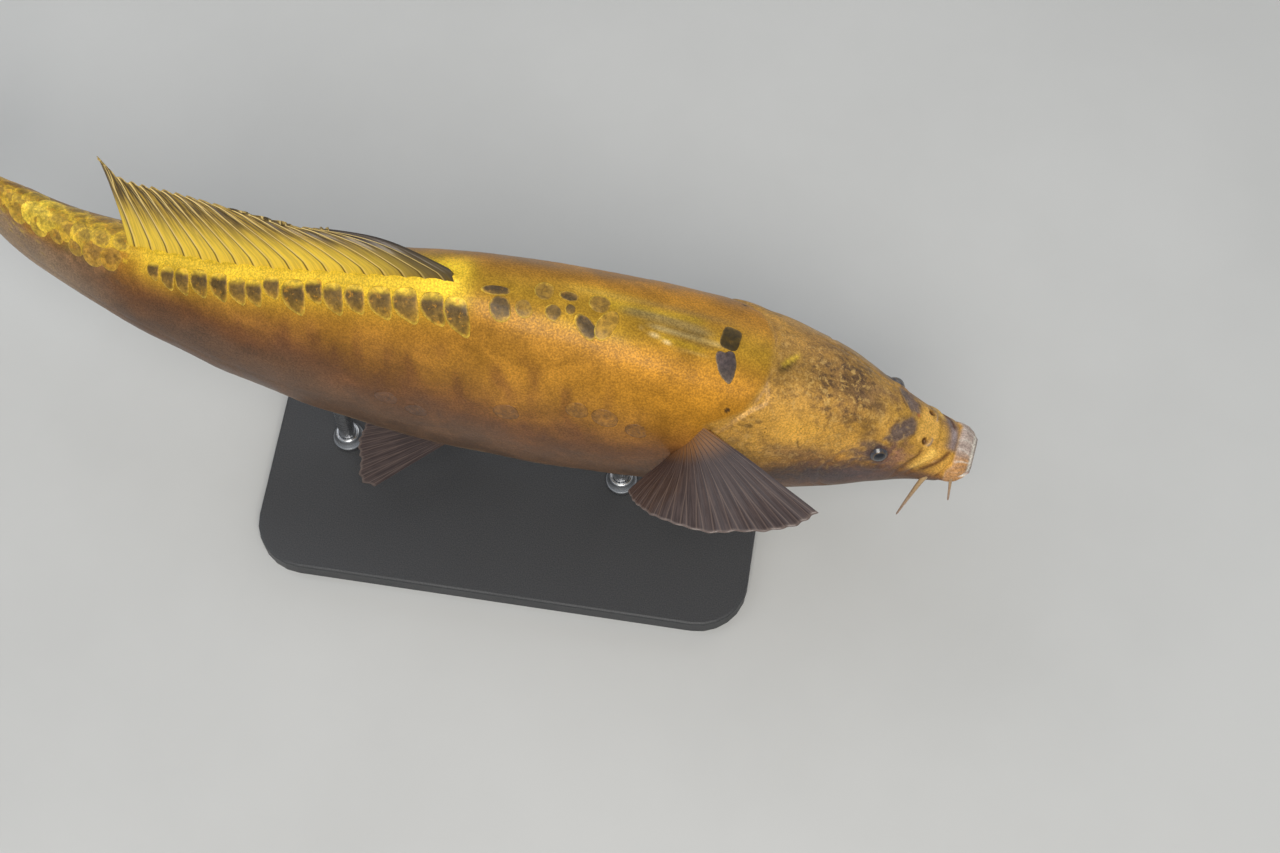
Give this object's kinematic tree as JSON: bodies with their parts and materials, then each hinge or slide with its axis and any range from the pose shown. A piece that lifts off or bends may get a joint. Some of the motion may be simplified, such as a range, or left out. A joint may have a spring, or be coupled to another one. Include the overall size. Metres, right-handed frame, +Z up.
{
  "type": "koi carp display model",
  "caption": "Mirror-scaled golden koi carp in a swimming turn, life size, held over a flat base by upright rods.",
  "frame": {"origin": "middle of the underside of the stand's base", "axes": "+X to the fish's head, +Y to the fish's left, +Z up"},
  "size_m": [0.6422, 0.196, 0.2719],
  "materials": {
    "lip_skin": "wet pale cream-gold skin",
    "head_skin": "wet metallic gold skin with brown mottling",
    "gill_cover_skin": "wet metallic gold skin, fine grained",
    "eye": "dark glossy eyeball with a golden iris ring",
    "barbel_skin": "wet soft skin",
    "gold_skin": "wet smooth metallic ochre-gold skin, darker low on the flank",
    "golden_fin": "golden membrane between dark rays",
    "brown_fin": "dark brown membrane with ribbed rays",
    "stand_plate": "satin dark grey paint",
    "stand_steel": "brushed rod"
  },
  "bodies": {
    "root": {"mouth": "lip_skin", "head": "head_skin", "left_gill_cover": "gill_cover_skin", "right_gill_cover": "gill_cover_skin", "left_eye": "eye", "right_eye": "eye", "left_front_barbel": "barbel_skin", "right_front_barbel": "barbel_skin", "left_rear_barbel": "barbel_skin", "right_rear_barbel": "barbel_skin", "front_trunk": "gold_skin", "rear_trunk": "gold_skin", "tail_stalk": "gold_skin", "dorsal_fin": "golden_fin", "anal_fin": "brown_fin", "tail_fin_upper_lobe": "golden_fin", "tail_fin_lower_lobe": "golden_fin", "left_pectoral_fin": "brown_fin", "right_pectoral_fin": "brown_fin", "left_pelvic_fin": "brown_fin", "right_pelvic_fin": "brown_fin", "stand_base": "stand_plate", "stand_rod_front": "stand_steel", "stand_rod_rear": "stand_steel"}
  },
  "joints": []
}
